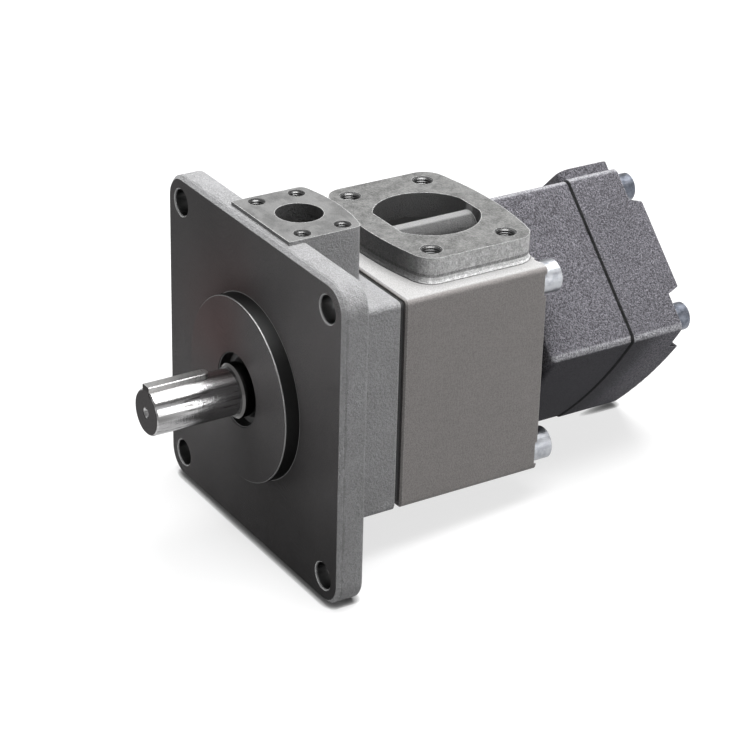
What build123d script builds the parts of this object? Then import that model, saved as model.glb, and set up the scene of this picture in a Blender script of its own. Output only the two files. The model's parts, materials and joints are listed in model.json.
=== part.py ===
from build123d import *
from math import cos, radians, sin, sqrt
import os

# A double vane pump: two vane cartridges on one keyed shaft, in three castings and a cover.
# The origin is the centre of the flange face. The shaft lies along Y and points to -Y,
# the pump's bodies lie behind the flange towards +Y, and the ports open upwards, +Z.
# All sizes are in millimetres.

# Mounting flange and pilot
flange_side = 273.0
flange_thickness = 23.2
flange_corner = 22.0
flange_rim_chamfer = 3.0
flange_back_round = 2.5
flange_bolt_edge = 22.2
flange_hole_diameter = 22.0
flange_hole_chamfer = 1.2
pilot_diameter = 152.4
pilot_height = 12.7
pilot_chamfer = 1.0

# Front and centre castings
block_side = 183.2
block_lift = 1.2
block_corner = 5.0
block_root_fillet = 4.0
front_body_end = 80.3
joint_gap = 4.4
joint_depth = 3.4
centre_body_end = 217.5
casting_edge = 1.5

# Delivery port of the large pump, on the front body
delivery_y = 42.8
delivery_top = 139.8
delivery_half_width = 45.0
delivery_front = 7.7
delivery_back = 78.2
delivery_back_bulge = 6.5
delivery_corner = 7.0
delivery_bore = 38.1
delivery_bolts_x = 69.9
delivery_bolts_y = 35.7
delivery_thread = 12.0
delivery_thread_depth = 24.0

# Suction port of both pumps, on the centre body
suction_pad_y = 162.3
suction_port_y = 161.3
suction_top = 114.8
suction_half_width = 77.5
suction_half_length = 60.7
suction_end_bulge = 10.5
suction_corner = 18.0
pad_root_fillet = 3.0
suction_bore = 87.0
suction_front_wall = 123.5
suction_back_wall = 202.4
suction_bolts_x = 120.7
suction_bolts_y = 69.9
suction_thread = 16.0
suction_thread_depth = 28.0
thread_chamfer = 1.0
rib_top = 109.0
rib_width = 27.0

# Drive shaft and key
shaft_diameter = 38.1
shaft_end = -92.7
shaft_end_chamfer = 1.5
shaft_step = -19.0
shaft_step_chamfer = 2.0
centre_drill = 5.0
key_width = 9.525
key_length = 54.0
key_stand = 4.3
key_chamfer = 0.5
keyway_fit = 0.02
journal_diameter = 45.0
collar_diameter = 52.0
collar_width = 4.0
neck_diameter = 41.0
neck_front = 34.5
middle_diameter = 33.0
rear_journal_diameter = 26.0
spline_relief = 0.5

# Front ball bearing, 45 x 85 x 19
bearing_outside = 85.0
bearing_width = 19.0
bearing_front = 12.0
ball_count = 9
ball_diameter = 12.7
ball_play = 0.05
inner_ring_wall = 6.2
outer_ring_wall = 6.2
cage_wall = 3.2
cage_rim = 1.4
cage_play = 0.1

# Shaft seal and snap rings
seal_outside = 60.0
seal_width = 10.0
seal_front = -3.0
seal_shell = 1.5
seal_lip_play = 0.04
body_ring_thickness = 3.0
body_ring_height = 5.5
body_groove_depth = 2.0
shaft_ring_thickness = 1.75
shaft_ring_height = 4.2
shaft_groove_depth = 1.25
snap_ring_gap = 14.0
groove_play = 0.1

# Large cartridge
large_bore = 140.0
large_front = 62.0
large_plate_front = 16.0
large_ring_width = 40.0
large_plate_back = 16.0
large_hub_length = 26.5
large_cam_minor = 42.0
large_cam_stroke = 3.5
large_vanes = 12
large_vane_thickness = 3.0
large_vane_height = 13.0
large_slot_depth = 14.7
large_slot_root = 4.6
large_spline_teeth = 8
large_spline_root = 34.6
large_spline_tip = 39.0
large_spline_width = 6.0
large_pin_circle = 116.0
large_pin_diameter = 8.0
large_screw_diameter = 8.0

# Small cartridge
small_bore = 104.0
small_front = 236.0
small_plate_front = 12.0
small_ring_width = 26.0
small_plate_back = 14.0
small_hub_diameter = 52.0
small_hub_length = 14.0
small_cam_minor = 31.0
small_cam_stroke = 2.6
small_vanes = 10
small_vane_thickness = 2.5
small_vane_height = 10.0
small_slot_depth = 11.4
small_slot_root = 4.0
small_spline_teeth = 8
small_spline_root = 28.0
small_spline_tip = 32.0
small_spline_width = 5.0
small_pin_circle = 84.0
small_pin_diameter = 6.0
small_screw_diameter = 6.0

# Fits shared by both cartridges
plate_fit = 0.05
hub_fit = 0.1
spline_fit = 0.05
rotor_side_play = 0.05
rotor_tip_play = 0.3
vane_side_play = 0.03
vane_tip_play = 0.1
vane_rounding = 0.45
pin_inset = 6.0
blind_floor = 4.0
shaft_passage_play = 0.5
kidney_angle = 46.0
kidney_width = 7.0
cam_step = 10
cut_past = 1.0

# Rear pump castings, turned 45 degrees about the shaft
rear_turn = 45.0
rear_casting_front = 224.0
rear_seam = 303.7
cover_seat = 354.0
cover_back = 367.0
rear_side = 76.0
rear_port_side = 85.5
rear_corner_low = 62.0
rear_belly = 75.5
rear_round = 7.0
rear_front_round = 5.0
rear_belly_middle = 74.0
seam_chamfer = 1.0
cover_back_round = 3.0
cover_overlap = 1.0
cover_screw_half = 60.3
cover_screw_shift = 11.8
pocket_radius = 23.5
pocket_flare = 3.5
rear_port_y = 337.0
rear_port_top = 98.5
rear_port_half_width = 61.0
rear_port_half_length = 25.8
rear_port_corner = 9.0
rear_port_bore = 25.4
rear_port_bolts_across = 52.4
rear_port_bolts_along = 26.2
rear_port_thread = 10.0
rear_port_thread_depth = 20.0

# Cavities and registers
tunnel_bore = 44.0
tunnel_wall = 8.0
plate_ledge = 10.0
delivery_chamber_front = 42.0
suction_chamber_back = 192.0
suction_port_floor = 45.0
delivery_port_floor = 50.0
rear_chamber_diameter = 88.0
rear_chamber_back = 349.8
rear_post_wall = 6.0
rear_socket_back = 304.0
post_gap = 1.0
land_diameter = 146.0
register_diameter = 124.0
register_length = 5.0
register_gap = 0.3
push_fit = 0.02

# Fasteners
body_screw_diameter = 18.0
body_screw_x = 78.0
body_screw_half_height = 75.5
body_screw_sink = 3.0
spot_face_diameter = 33.0
body_screw_reach = 30.0
cover_screw_diameter = 16.0
cover_screw_reach = 32.0
rear_body_screw_diameter = 10.0
rear_body_screw_circle = 84.0
rear_body_screw_reach = 15.0
screw_clearance = 1.0
head_clearance = 2.0
head_sink = 0.5
tip_room = 2.0
thread_fit = 0.05
head_ratio = 1.5
head_chamfer = 0.8
socket_ratio = 0.78
socket_depth_ratio = 0.5

# Bush and O-rings
bush_wall = 2.5
bush_play = 0.03
bush_inset = 1.0
hub_seal_y = 39.0
rear_hub_seal_y = 295.2
seal_cord = 3.5
seal_squeeze = 0.3
seal_side_room = 1.0
joint_seal_land = 6.0
cover_seal_land = 4.0

# Places that follow from the sizes above
flange_bolt_spacing = flange_side - 2 * flange_bolt_edge
large_hub_diameter = bearing_outside - 2 * hub_fit
centre_front = front_body_end + joint_gap
block_top = block_side / 2 + block_lift
large_ring_front = large_front + large_plate_front
large_ring_back = large_ring_front + large_ring_width
large_back = large_ring_back + large_plate_back
small_ring_front = small_front + small_plate_front
small_ring_back = small_ring_front + small_ring_width
small_back = small_ring_back + small_plate_back
shaft_back = small_back + small_hub_length - tip_room
key_floor = shaft_diameter / 2 + key_stand - key_width
bearing_back = bearing_front + bearing_width
bearing_middle = bearing_front + bearing_width / 2
pitch_radius = (bearing_outside + journal_diameter) / 4
seal_back = seal_front + seal_width
seal_lip = journal_diameter / 2 + seal_lip_play
seal_inner = seal_lip + 1.5 * seal_shell
neck_passage = neck_diameter / 2 + shaft_passage_play
bush_outside = rear_journal_diameter / 2 + bush_wall
tunnel_outside = tunnel_bore / 2 + tunnel_wall
chamber_radius = large_bore / 2 - plate_ledge
suction_angles = (45.0, 225.0)
delivery_angles = (135.0, 315.0)
seal_groove_depth = seal_cord - seal_squeeze
seal_groove_width = seal_cord + seal_side_room
seal_section = seal_groove_depth / 2 - push_fit
body_screw_seat_y = centre_body_end - body_screw_sink
rear_screw_seat_y = small_front - rear_body_screw_diameter - head_sink
joint_seal_radius = large_bore / 2 + joint_seal_land
rear_joint_seal_radius = (register_diameter + land_diameter) / 4
cover_joint_seal_radius = small_bore / 2 + cover_seal_land
body_screw_places = [
    (x, block_lift + z)
    for x in (-body_screw_x, body_screw_x)
    for z in (-body_screw_half_height, body_screw_half_height)
]
large_pin_places = [(-large_pin_circle / 2, 0), (large_pin_circle / 2, 0)]
large_screw_places = [(0, -large_pin_circle / 2), (0, large_pin_circle / 2)]
small_pin_places = [(-small_pin_circle / 2, 0), (small_pin_circle / 2, 0)]
small_screw_places = [(0, -small_pin_circle / 2), (0, small_pin_circle / 2)]
rear_body_screw_places = [
    (rear_body_screw_circle / 2, 0),
    (0, rear_body_screw_circle / 2),
    (-rear_body_screw_circle / 2, 0),
    (0, -rear_body_screw_circle / 2),
]
cover_screw_places = [
    (across, cover_screw_shift + up)
    for across in (-cover_screw_half, cover_screw_half)
    for up in (-cover_screw_half, cover_screw_half)
]


def facing(y, turn=0.0):
    """The plane square to the shaft at y, with its x across and its y up, turned about the shaft."""
    across = Vector(1, 0, 0).rotate(Axis.Y, -turn)
    return Plane(origin=(0, y, 0), x_dir=across, z_dir=(0, -1, 0))


def outward(angle, distance=0.0):
    """The plane that looks out from the shaft at an angle, with its y along the shaft."""
    out = Vector(cos(radians(angle)), 0, sin(radians(angle)))
    return Plane(origin=out * distance, x_dir=Vector(0, 1, 0).cross(out), z_dir=out)


def turned(*points):
    """A half section of (radius, y) points in the XY plane, to be revolved about the shaft."""
    with BuildSketch(Plane.XY) as section:
        with BuildLine():
            Polyline(*points, close=True)
        make_face()
    return section.sketch


def band(inner, outer, front, back):
    """The half section of a plain ring."""
    return turned((inner, front), (outer, front), (outer, back), (inner, back))


def cam_radius(angle, minor, stroke):
    """The cam ring's inner radius: two lobes in one turn, smallest on the X axis."""
    return minor + stroke * (1 - cos(2 * radians(angle))) / 2


def kidneys(plane, radius, centres):
    """Arc slots round the shaft in a plane square to it, one at each of the angles given."""
    with BuildSketch(plane) as plan:
        for centre in centres:
            with BuildLine(mode=Mode.PRIVATE) as path:
                CenterArc((0, 0), radius, centre - kidney_angle / 2, kidney_angle)
            SlotArc(path.edge(), kidney_width)
    return plan.sketch


def tapped_holes(plane, across, along, diameter, depth):
    """Four tapped holes at the corners of a rectangle, each with its thread's chamfer."""
    with Locations(plane):
        with GridLocations(across, along, 2, 2):
            CounterSinkHole(diameter / 2, diameter / 2 + thread_chamfer, depth, 90)


def cap_screw(diameter, length, seat_y):
    """A socket head cap screw on the shaft's axis: its head lies behind seat_y, its shank in front."""
    with BuildPart() as screw:
        with BuildSketch(facing(seat_y)):
            Circle(diameter * head_ratio / 2)
        extrude(amount=-diameter)
        chamfer(screw.edges().sort_by(Axis.Y)[-1], head_chamfer)
        with BuildSketch(facing(seat_y + diameter)):
            RegularPolygon(diameter * socket_ratio / sqrt(3), 6)
        extrude(amount=diameter * socket_depth_ratio, mode=Mode.SUBTRACT)
        with BuildSketch(facing(seat_y)):
            Circle(diameter / 2)
        extrude(amount=length)
        chamfer(screw.edges().sort_by(Axis.Y)[0], head_chamfer)
    return screw.part


def snap_ring(inner, outer, front, thickness):
    """A retaining ring with its gap at the bottom."""
    with BuildPart() as ring:
        revolve(band(inner, outer, front, front + thickness), axis=Axis.Y)
        with Locations((0, front + thickness / 2, -(inner + outer) / 2)):
            Box(snap_ring_gap, thickness * 2, outer, mode=Mode.SUBTRACT)
    return ring.part


def seal_ring(radius, y):
    """An O-ring round the shaft."""
    with BuildPart() as ring:
        with BuildSketch(Plane.XY):
            with Locations((radius, y)):
                Circle(seal_section)
        revolve(axis=Axis.Y)
    return ring.part


def placed(places, turn=0.0):
    """Positions square to the shaft, as points in space."""
    return [facing(0, turn).from_local_coords(Vector(across, up, 0)) for across, up in places]


def race_section(inner, outer):
    """The half section of a bearing ring with its groove for the balls."""
    with BuildSketch(Plane.XY) as section:
        with Locations(((inner + outer) / 2, bearing_middle)):
            Rectangle(outer - inner, bearing_width)
        with Locations((pitch_radius, bearing_middle)):
            Circle(ball_diameter / 2 + ball_play, mode=Mode.SUBTRACT)
    return section.sketch


def key_plan(plane, width, length):
    """The key seen from above, open at the shaft's end and round at its inner end."""
    with BuildSketch(plane) as plan:
        with Locations((0, shaft_end + (length - width / 2) / 2)):
            Rectangle(width, length - width / 2)
        with Locations((0, shaft_end + length - width / 2)):
            Circle(width / 2)
    return plan.sketch


def spline_plan(plane, root, tip, width, teeth):
    """A straight-sided spline seen along the shaft."""
    with BuildSketch(plane) as plan:
        with PolarLocations(tip / 4, teeth):
            Rectangle(tip / 2, width)
        Circle(tip / 2, mode=Mode.INTERSECT)
        Circle(root / 2)
    return plan.sketch


def cam_plan(plane, outside, minor, stroke):
    """A cam ring seen along the shaft."""
    places = [radians(angle) for angle in range(0, 360, cam_step)]
    radii = [cam_radius(angle, minor, stroke) for angle in range(0, 360, cam_step)]
    with BuildSketch(plane) as plan:
        Circle(outside)
        with BuildLine():
            Spline(
                *[(radius * cos(place), radius * sin(place)) for radius, place in zip(radii, places)],
                periodic=True,
            )
        make_face(mode=Mode.SUBTRACT)
    return plan.sketch


def rotor_plan(plane, radius, vanes, thickness, slot_depth, slot_root):
    """A rotor seen along the shaft, with a slot for each vane."""
    with BuildSketch(plane) as plan:
        Circle(radius)
        with PolarLocations(radius - slot_depth / 2 + cut_past, vanes):
            Rectangle(slot_depth + 2 * cut_past, thickness + 2 * vane_side_play, mode=Mode.SUBTRACT)
        with PolarLocations(radius - slot_depth, vanes):
            Circle(slot_root / 2, mode=Mode.SUBTRACT)
    return plan.sketch


def pad_plan(plane, half_width, front, back, front_bulge, back_bulge, corner):
    """A port pad seen from above: straight sides, and ends that are straight or bulge to an arc."""
    with BuildSketch(plane) as plan:
        with BuildLine():
            if front_bulge:
                ThreePointArc(
                    (-half_width, front + front_bulge), (0, front), (half_width, front + front_bulge)
                )
            else:
                Line((-half_width, front), (half_width, front))
            Line((half_width, front + front_bulge), (half_width, back - back_bulge))
            ThreePointArc(
                (half_width, back - back_bulge), (0, back), (-half_width, back - back_bulge)
            )
            Line((-half_width, back - back_bulge), (-half_width, front + front_bulge))
        make_face()
        fillet(plan.vertices().group_by(Axis.Y)[-1], corner)
        if front_bulge:
            fillet(plan.vertices().group_by(Axis.Y)[0], corner)
    return plan.sketch


def flared_foot(plan, height, half_width, end_y):
    """A port pad with a fillet round its foot, as far back as the end of the casting under it."""
    with BuildPart() as foot:
        extrude(plan, amount=-height)
        with Locations((0, end_y / 2, block_top - pad_root_fillet)):
            Box(block_side, 2 * end_y, pad_root_fillet * 2, mode=Mode.ADD)
        roots = foot.edges().filter_by_position(Axis.X, -half_width - 0.1, half_width + 0.1)
        roots = roots.filter_by_position(Axis.Z, block_top - 0.1, block_top + 0.1)
        fillet(roots, pad_root_fillet)
        split(bisect_by=Plane.XY.offset(block_top), keep=Keep.TOP)
        split(bisect_by=facing(end_y - casting_edge), keep=Keep.TOP)
    return foot.part


def rear_plan(y, grow=0.0):
    """The rear pump's outline, in its own turned frame: three flat sides and a bulging belly."""
    side = rear_side + grow
    with BuildSketch(facing(y, rear_turn)) as plan:
        with BuildLine():
            Line((side, -rear_corner_low - grow), (side, rear_port_side + grow))
            Line((side, rear_port_side + grow), (-side, rear_port_side + grow))
            Line((-side, rear_port_side + grow), (-side, -rear_belly - grow))
            ThreePointArc(
                (-side, -rear_belly - grow),
                (0, -rear_belly_middle - grow),
                (side, -rear_corner_low - grow),
            )
        make_face()
        fillet(plan.vertices(), rear_round)
    return plan.sketch


# Front body: flange, pilot, square block and delivery pad in one casting
with BuildPart() as front_body:
    with BuildSketch(facing(0)):
        RectangleRounded(flange_side, flange_side, flange_corner)
    extrude(amount=-flange_thickness)
    chamfer(front_body.faces().sort_by(Axis.Y)[0].edges(), flange_rim_chamfer)
    fillet(front_body.faces().sort_by(Axis.Y)[-1].edges(), flange_back_round)
    with BuildSketch(facing(flange_thickness)):
        with Locations((0, block_lift)):
            RectangleRounded(block_side, block_side, block_corner)
    extrude(amount=-(front_body_end - flange_thickness))
    roots = front_body.edges().filter_by_position(Axis.Y, flange_thickness - 0.1, flange_thickness + 0.1)
    roots = roots.filter_by_position(Axis.X, -block_top, block_top)
    roots = roots.filter_by_position(Axis.Z, -block_top, block_top)
    fillet(roots, block_root_fillet)
    chamfer(front_body.faces().sort_by(Axis.Y)[-1].edges(), casting_edge)
    delivery_plan = pad_plan(
        Plane.XY.offset(delivery_top),
        delivery_half_width,
        delivery_front,
        delivery_back,
        0,
        delivery_back_bulge,
        delivery_corner,
    )
    extrude(delivery_plan, amount=-(delivery_top - chamber_radius))
    add(flared_foot(delivery_plan, delivery_top - block_top, delivery_half_width, front_body_end))
    with BuildSketch(facing(0)):
        Circle(pilot_diameter / 2)
    extrude(amount=pilot_height)
    chamfer(front_body.edges().group_by(Axis.Y)[0], pilot_chamfer)
    revolve(
        turned(
            (0, -pilot_height),
            (seal_outside / 2 + pilot_chamfer, -pilot_height),
            (seal_outside / 2, -pilot_height + pilot_chamfer),
            (seal_outside / 2, seal_back),
            (seal_outside / 2 - seal_shell, seal_back),
            (seal_outside / 2 - seal_shell, bearing_front),
            (bearing_outside / 2, bearing_front),
            (bearing_outside / 2, bearing_back),
            (bearing_outside / 2 + body_groove_depth, bearing_back),
            (bearing_outside / 2 + body_groove_depth, bearing_back + body_ring_thickness + groove_play),
            (bearing_outside / 2, bearing_back + body_ring_thickness + groove_play),
            (bearing_outside / 2, delivery_chamber_front),
            (chamber_radius, delivery_chamber_front),
            (chamber_radius, large_front),
            (large_bore / 2, large_front),
            (large_bore / 2, front_body_end),
            (0, front_body_end),
        ),
        axis=Axis.Y,
        mode=Mode.SUBTRACT,
    )
    with Locations((0, delivery_y, delivery_top)):
        Hole(delivery_bore / 2, delivery_top - delivery_port_floor)
    tapped_holes(
        Plane((0, delivery_y, delivery_top)),
        delivery_bolts_x,
        delivery_bolts_y,
        delivery_thread,
        delivery_thread_depth,
    )
    with Locations(facing(0)):
        with GridLocations(flange_bolt_spacing, flange_bolt_spacing, 2, 2):
            CounterSinkHole(
                flange_hole_diameter / 2, flange_hole_diameter / 2 + flange_hole_chamfer, flange_thickness, 90
            )
    with BuildSketch(facing(front_body_end)):
        with Locations(*body_screw_places):
            Circle(body_screw_diameter / 2 + thread_fit)
    extrude(amount=body_screw_reach + tip_room, mode=Mode.SUBTRACT)

# Centre body: the square casting with the suction port of both pumps on top
with BuildPart() as centre_body:
    with BuildSketch(facing(centre_front)):
        with Locations((0, block_lift)):
            RectangleRounded(block_side, block_side, block_corner)
    extrude(amount=-(centre_body_end - centre_front))
    chamfer(centre_body.faces().sort_by(Axis.Y)[0].edges(), casting_edge)
    chamfer(centre_body.faces().sort_by(Axis.Y)[-1].edges(), casting_edge)
    with BuildSketch(facing(front_body_end)):
        with Locations((0, block_lift)):
            RectangleRounded(block_side - 2 * joint_depth, block_side - 2 * joint_depth, block_corner)
    extrude(amount=-joint_gap)
    suction_plan = pad_plan(
        Plane.XY.offset(suction_top),
        suction_half_width,
        suction_pad_y - suction_half_length,
        suction_pad_y + suction_half_length,
        suction_end_bulge,
        suction_end_bulge,
        suction_corner,
    )
    extrude(suction_plan, amount=-(suction_top - block_top))
    add(flared_foot(suction_plan, suction_top - block_top, suction_half_width, centre_body_end))
    with BuildSketch(Plane.XY.offset(suction_top)):
        with Locations((0, suction_port_y)):
            Circle(suction_bore / 2)
        with Locations((0, (suction_front_wall + suction_back_wall) / 2)):
            Rectangle(suction_bore, suction_back_wall - suction_front_wall, mode=Mode.INTERSECT)
    extrude(amount=-(suction_top - suction_port_floor), mode=Mode.SUBTRACT)
    revolve(
        band(tunnel_outside, chamber_radius, large_back, suction_chamber_back),
        axis=Axis.Y,
        mode=Mode.SUBTRACT,
    )
    with BuildSketch(facing(suction_front_wall - cut_past)):
        with Locations((0, (tunnel_bore / 2 + tunnel_outside) / 4 + rib_top / 2)):
            Rectangle(rib_width, rib_top - (tunnel_bore / 2 + tunnel_outside) / 2)
        with Locations((0, rib_top - rib_width / 2)):
            Rectangle(rib_width, rib_width, mode=Mode.SUBTRACT)
            Circle(rib_width / 2)
        with Locations((0, rib_top - rib_width * 3 / 4)):
            Rectangle(rib_width, rib_width / 2)
    extrude(amount=-(suction_back_wall - suction_front_wall + 2 * cut_past))
    revolve(
        turned(
            (0, front_body_end),
            (large_bore / 2, front_body_end),
            (large_bore / 2, large_back),
            (tunnel_bore / 2, large_back),
            (tunnel_bore / 2, centre_body_end - register_length),
            (register_diameter / 2, centre_body_end - register_length),
            (register_diameter / 2, centre_body_end),
            (0, centre_body_end),
        ),
        axis=Axis.Y,
        mode=Mode.SUBTRACT,
    )
    revolve(
        band(
            joint_seal_radius - seal_groove_width / 2,
            joint_seal_radius + seal_groove_width / 2,
            front_body_end,
            front_body_end + seal_groove_depth,
        ),
        axis=Axis.Y,
        mode=Mode.SUBTRACT,
    )
    small_suction = kidneys(
        facing(centre_body_end, rear_turn), small_cam_minor + small_cam_stroke / 2, suction_angles
    )
    extrude(small_suction, amount=centre_body_end - suction_chamber_back + cut_past, mode=Mode.SUBTRACT)
    with BuildSketch(facing(centre_body_end - register_length, rear_turn)):
        with PolarLocations(rear_body_screw_circle / 2, 4):
            Circle(rear_body_screw_diameter / 2 + thread_fit)
    extrude(amount=rear_body_screw_reach, mode=Mode.SUBTRACT)
    with BuildSketch(facing(front_body_end)):
        with Locations(*body_screw_places):
            Circle((body_screw_diameter + screw_clearance) / 2)
    extrude(amount=-(centre_body_end - front_body_end), mode=Mode.SUBTRACT)
    with BuildSketch(facing(body_screw_seat_y)):
        with Locations(*body_screw_places):
            Circle(spot_face_diameter / 2)
    extrude(amount=-body_screw_diameter, mode=Mode.SUBTRACT)
    tapped_holes(
        Plane((0, suction_port_y, suction_top)),
        suction_bolts_x,
        suction_bolts_y,
        suction_thread,
        suction_thread_depth,
    )

# Rear body: the rear pump's casting, with a spigot in the centre body's register
with BuildPart() as rear_body:
    extrude(rear_plan(rear_casting_front), amount=-(rear_seam - rear_casting_front))
    fillet(rear_body.faces().sort_by(Axis.Y)[0].edges(), rear_front_round)
    chamfer(rear_body.faces().sort_by(Axis.Y)[-1].edges(), seam_chamfer)
    revolve(band(0, land_diameter / 2, centre_body_end, rear_casting_front), axis=Axis.Y)
    revolve(
        band(
            0,
            register_diameter / 2 - plate_fit,
            centre_body_end - register_length + register_gap,
            centre_body_end,
        ),
        axis=Axis.Y,
    )
    revolve(
        turned(
            (0, centre_body_end - register_length),
            (tunnel_bore / 2, centre_body_end - register_length),
            (tunnel_bore / 2, small_front),
            (small_bore / 2, small_front),
            (small_bore / 2, rear_seam),
            (0, rear_seam),
        ),
        axis=Axis.Y,
        mode=Mode.SUBTRACT,
    )
    revolve(
        band(
            rear_joint_seal_radius - seal_groove_width / 2,
            rear_joint_seal_radius + seal_groove_width / 2,
            centre_body_end,
            centre_body_end + seal_groove_depth,
        ),
        axis=Axis.Y,
        mode=Mode.SUBTRACT,
    )
    body_suction = kidneys(
        facing(small_front, rear_turn), small_cam_minor + small_cam_stroke / 2, suction_angles
    )
    extrude(body_suction, amount=small_front - centre_body_end + register_length, mode=Mode.SUBTRACT)
    with BuildSketch(facing(small_front, rear_turn)):
        with PolarLocations(rear_body_screw_circle / 2, 4):
            Circle((rear_body_screw_diameter + screw_clearance) / 2)
    extrude(amount=small_front - centre_body_end + register_length, mode=Mode.SUBTRACT)
    with BuildSketch(facing(small_front, rear_turn)):
        with PolarLocations(rear_body_screw_circle / 2, 4):
            Circle((rear_body_screw_diameter * head_ratio + head_clearance) / 2)
    extrude(amount=small_front - rear_screw_seat_y, mode=Mode.SUBTRACT)
    with BuildSketch(facing(rear_seam, rear_turn)):
        with Locations(*cover_screw_places):
            Circle(cover_screw_diameter / 2 + thread_fit)
    extrude(amount=cover_screw_reach + tip_room, mode=Mode.SUBTRACT)

# Rear cover: closes the rear pump and carries its delivery port
with BuildPart() as rear_cover:
    extrude(rear_plan(rear_seam, cover_overlap), amount=-(cover_back - rear_seam))
    fillet(rear_cover.faces().sort_by(Axis.Y)[-1].edges(), cover_back_round)
    chamfer(rear_cover.faces().sort_by(Axis.Y)[0].edges(), seam_chamfer)
    for across, up in cover_screw_places:
        seat = facing(cover_seat, rear_turn)
        with Locations(seat * Location((across, up, -(cover_back - cover_seat) / 2), (180, 0, 0))):
            Cone(pocket_radius, pocket_radius + pocket_flare, cover_back - cover_seat, mode=Mode.SUBTRACT)
    rear_port_plane = Plane(
        origin=Vector(-1, 0, 1).normalized() * rear_port_top + Vector(0, rear_port_y, 0),
        x_dir=(1, 0, 1),
        z_dir=(-1, 0, 1),
    )
    with BuildSketch(rear_port_plane):
        RectangleRounded(2 * rear_port_half_width, 2 * rear_port_half_length, rear_port_corner)
    extrude(amount=-(rear_port_top - rear_port_side))
    revolve(band(0, small_bore / 2 - plate_fit * 2, small_back, rear_seam), axis=Axis.Y)
    revolve(
        turned(
            (0, small_back),
            (rear_chamber_diameter / 2, small_back),
            (rear_chamber_diameter / 2, rear_chamber_back),
            (small_hub_diameter / 2 + rear_post_wall, rear_chamber_back),
            (small_hub_diameter / 2 + rear_post_wall, small_back + post_gap),
            (small_hub_diameter / 2 + plate_fit, small_back + post_gap),
            (small_hub_diameter / 2 + plate_fit, rear_socket_back),
            (0, rear_socket_back),
        ),
        axis=Axis.Y,
        mode=Mode.SUBTRACT,
    )
    revolve(
        band(
            cover_joint_seal_radius - seal_groove_width / 2,
            cover_joint_seal_radius + seal_groove_width / 2,
            rear_seam,
            rear_seam + seal_groove_depth,
        ),
        axis=Axis.Y,
        mode=Mode.SUBTRACT,
    )
    with Locations(rear_port_plane):
        Hole(rear_port_bore / 2, rear_port_top - rear_chamber_diameter / 2 + plate_ledge)
    tapped_holes(
        rear_port_plane,
        rear_port_bolts_across,
        rear_port_bolts_along,
        rear_port_thread,
        rear_port_thread_depth,
    )
    with BuildSketch(facing(rear_seam, rear_turn)):
        with Locations(*cover_screw_places):
            Circle((cover_screw_diameter + screw_clearance) / 2)
    extrude(amount=-(cover_back - rear_seam), mode=Mode.SUBTRACT)

# Drive shaft: keyed end, bearing seat, neck and a spline for each rotor
with BuildPart() as drive_shaft:
    revolve(
        turned(
            (0, shaft_end),
            (shaft_diameter / 2 - shaft_end_chamfer, shaft_end),
            (shaft_diameter / 2, shaft_end + shaft_end_chamfer),
            (shaft_diameter / 2, shaft_step),
            (journal_diameter / 2 - shaft_step_chamfer, shaft_step),
            (journal_diameter / 2, shaft_step + shaft_step_chamfer),
            (journal_diameter / 2, bearing_front - collar_width),
            (collar_diameter / 2, bearing_front - collar_width),
            (collar_diameter / 2, bearing_front),
            (journal_diameter / 2, bearing_front),
            (journal_diameter / 2, bearing_back),
            (journal_diameter / 2 - shaft_groove_depth, bearing_back),
            (journal_diameter / 2 - shaft_groove_depth, bearing_back + shaft_ring_thickness + groove_play),
            (journal_diameter / 2, bearing_back + shaft_ring_thickness + groove_play),
            (journal_diameter / 2, neck_front),
            (neck_diameter / 2, neck_front),
            (neck_diameter / 2, large_ring_front - spline_relief),
            (large_spline_root / 2, large_ring_front - spline_relief),
            (large_spline_root / 2, large_ring_back),
            (middle_diameter / 2, large_ring_back),
            (middle_diameter / 2, small_ring_front - spline_relief),
            (small_spline_root / 2, small_ring_front - spline_relief),
            (small_spline_root / 2, small_ring_back),
            (rear_journal_diameter / 2, small_ring_back),
            (rear_journal_diameter / 2, shaft_back - shaft_end_chamfer),
            (rear_journal_diameter / 2 - shaft_end_chamfer, shaft_back),
            (0, shaft_back),
        ),
        axis=Axis.Y,
    )
    large_spline = spline_plan(
        facing(large_ring_front), large_spline_root, large_spline_tip, large_spline_width, large_spline_teeth
    )
    extrude(large_spline, amount=-large_ring_width)
    small_spline = spline_plan(
        facing(small_ring_front, rear_turn),
        small_spline_root,
        small_spline_tip,
        small_spline_width,
        small_spline_teeth,
    )
    extrude(small_spline, amount=-small_ring_width)
    keyway = key_plan(
        Plane.XY.offset(key_floor - keyway_fit), key_width + 2 * keyway_fit, key_length + keyway_fit
    )
    extrude(keyway, amount=key_width, mode=Mode.SUBTRACT)
    with Locations(facing(shaft_end)):
        CounterSinkHole(centre_drill / 2, centre_drill, 2 * centre_drill, 60)

# Key, standing in the shaft's keyway
with BuildPart() as shaft_key:
    extrude(key_plan(Plane.XY.offset(key_floor), key_width, key_length), amount=key_width)
    chamfer(shaft_key.edges().group_by(Axis.Z)[-1], key_chamfer)

# Front ball bearing: two grooved rings, the balls and the cage that spaces them
with BuildPart() as bearing_outer_ring:
    revolve(
        race_section(bearing_outside / 2 - outer_ring_wall, bearing_outside / 2 - push_fit), axis=Axis.Y
    )

with BuildPart() as bearing_inner_ring:
    revolve(
        race_section(journal_diameter / 2 + push_fit, journal_diameter / 2 + inner_ring_wall), axis=Axis.Y
    )

with BuildPart() as bearing_balls:
    with Locations(facing(bearing_middle)):
        with PolarLocations(pitch_radius, ball_count):
            Sphere(ball_diameter / 2)

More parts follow.
